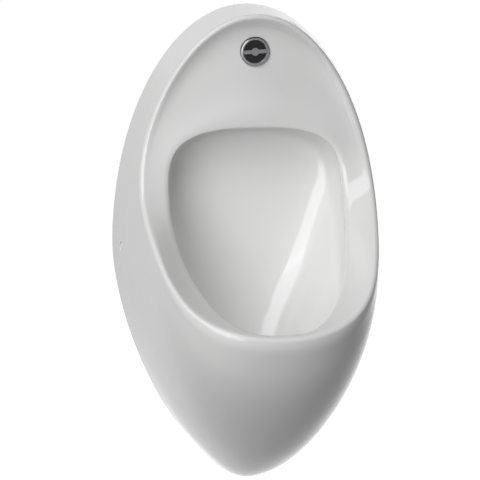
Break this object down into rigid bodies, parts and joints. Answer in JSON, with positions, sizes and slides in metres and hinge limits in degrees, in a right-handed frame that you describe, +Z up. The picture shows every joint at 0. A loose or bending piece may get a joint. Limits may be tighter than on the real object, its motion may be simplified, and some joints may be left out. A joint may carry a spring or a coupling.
{
  "type": "wall hung urinal",
  "caption": "Egg shaped wall hung urinal in white glazed china with a swept rim, a deep bowl under a hollow splash panel, an infrared flush sensor, concealed inlet and trap.",
  "frame": {"origin": "on the wall plane, on the centreline, midway between the four wall screws", "axes": "+X to the viewer's right, +Y into the wall, +Z up"},
  "size_m": [0.3598, 0.3536, 0.6408],
  "materials": {
    "vitreous_china": "glossy white glaze",
    "chromed_brass": "bright chrome",
    "infrared_acrylic": "glossy black, passes infrared",
    "epdm_rubber": "matt black",
    "black_nylon": "matt black",
    "circuit_board": "green solder resist",
    "diode_epoxy": "tinted clear epoxy",
    "cast_brass": "turned and blasted",
    "stainless_steel": "fine brushed",
    "ferritic_steel": "turned",
    "moulded_coil": "blue black moulding",
    "white_polypropylene": "satin moulding",
    "zinc_plated_steel": "zinc plated",
    "glossy_abs": "glossy white moulding"
  },
  "bodies": {
    "urinal": {"urinal_body": "vitreous_china", "sensor_bezel": "chromed_brass", "sensor_lens": "infrared_acrylic", "sensor_gasket": "epdm_rubber", "sensor_lock_nut": "black_nylon", "sensor_housing": "black_nylon", "sensor_board": "circuit_board", "infrared_emitter": "diode_epoxy", "infrared_receiver": "diode_epoxy", "inlet_nipple": "cast_brass", "inlet_filter": "stainless_steel", "valve_body": "cast_brass", "valve_diaphragm": "epdm_rubber", "valve_bonnet": "stainless_steel", "bonnet_screws": "stainless_steel", "plunger_spring": "stainless_steel", "solenoid_coil": "moulded_coil", "coil_clip": "zinc_plated_steel", "flush_tube": "chromed_brass", "flush_spreader": "chromed_brass", "spreader_gasket": "epdm_rubber", "spreader_nut": "cast_brass", "waste_flange": "white_polypropylene", "waste_gasket": "epdm_rubber", "waste_nut": "white_polypropylene", "trap_head": "white_polypropylene", "trap_seal": "epdm_rubber", "trap_cup": "white_polypropylene", "outlet_pipe": "white_polypropylene", "outlet_seal": "epdm_rubber", "outlet_nut": "white_polypropylene", "wall_bracket_right": "zinc_plated_steel", "wall_bracket_left": "zinc_plated_steel", "side_screws": "stainless_steel", "bracket_nuts": "zinc_plated_steel", "side_pads": "epdm_rubber"},
    "plunger": {"solenoid_plunger": "ferritic_steel"},
    "stop_lever": {"stop_spindle": "cast_brass"},
    "strainer": {"drain_strainer": "stainless_steel"},
    "cap_right": {"fixing_cap_right": "glossy_abs"},
    "cap_left": {"fixing_cap_left": "glossy_abs"}
  },
  "joints": [
    {"name": "plunger_slide", "type": "slide", "parent": "urinal", "child": "plunger", "axis": [0, 0, 1], "range_m": [0, 0.0025], "stiffness_N_per_m": 400, "springref_m": -0.003, "deforming": ["plunger_spring"]},
    {"name": "stop_turn", "type": "hinge", "parent": "urinal", "child": "stop_lever", "pos_m": [0.066, -0.024, 0.212], "axis": [1, 0, 0], "range_deg": [0, 90]},
    {"name": "strainer_lift", "type": "slide", "parent": "urinal", "child": "strainer", "axis": [0, 0, 1], "range_m": [0, 0.06]},
    {"name": "cap_right_pull", "type": "slide", "parent": "urinal", "child": "cap_right", "axis": [1, 0, 0], "range_m": [0, 0.012]},
    {"name": "cap_left_pull", "type": "slide", "parent": "urinal", "child": "cap_left", "axis": [-1, 0, 0], "range_m": [0, 0.012]}
  ]
}
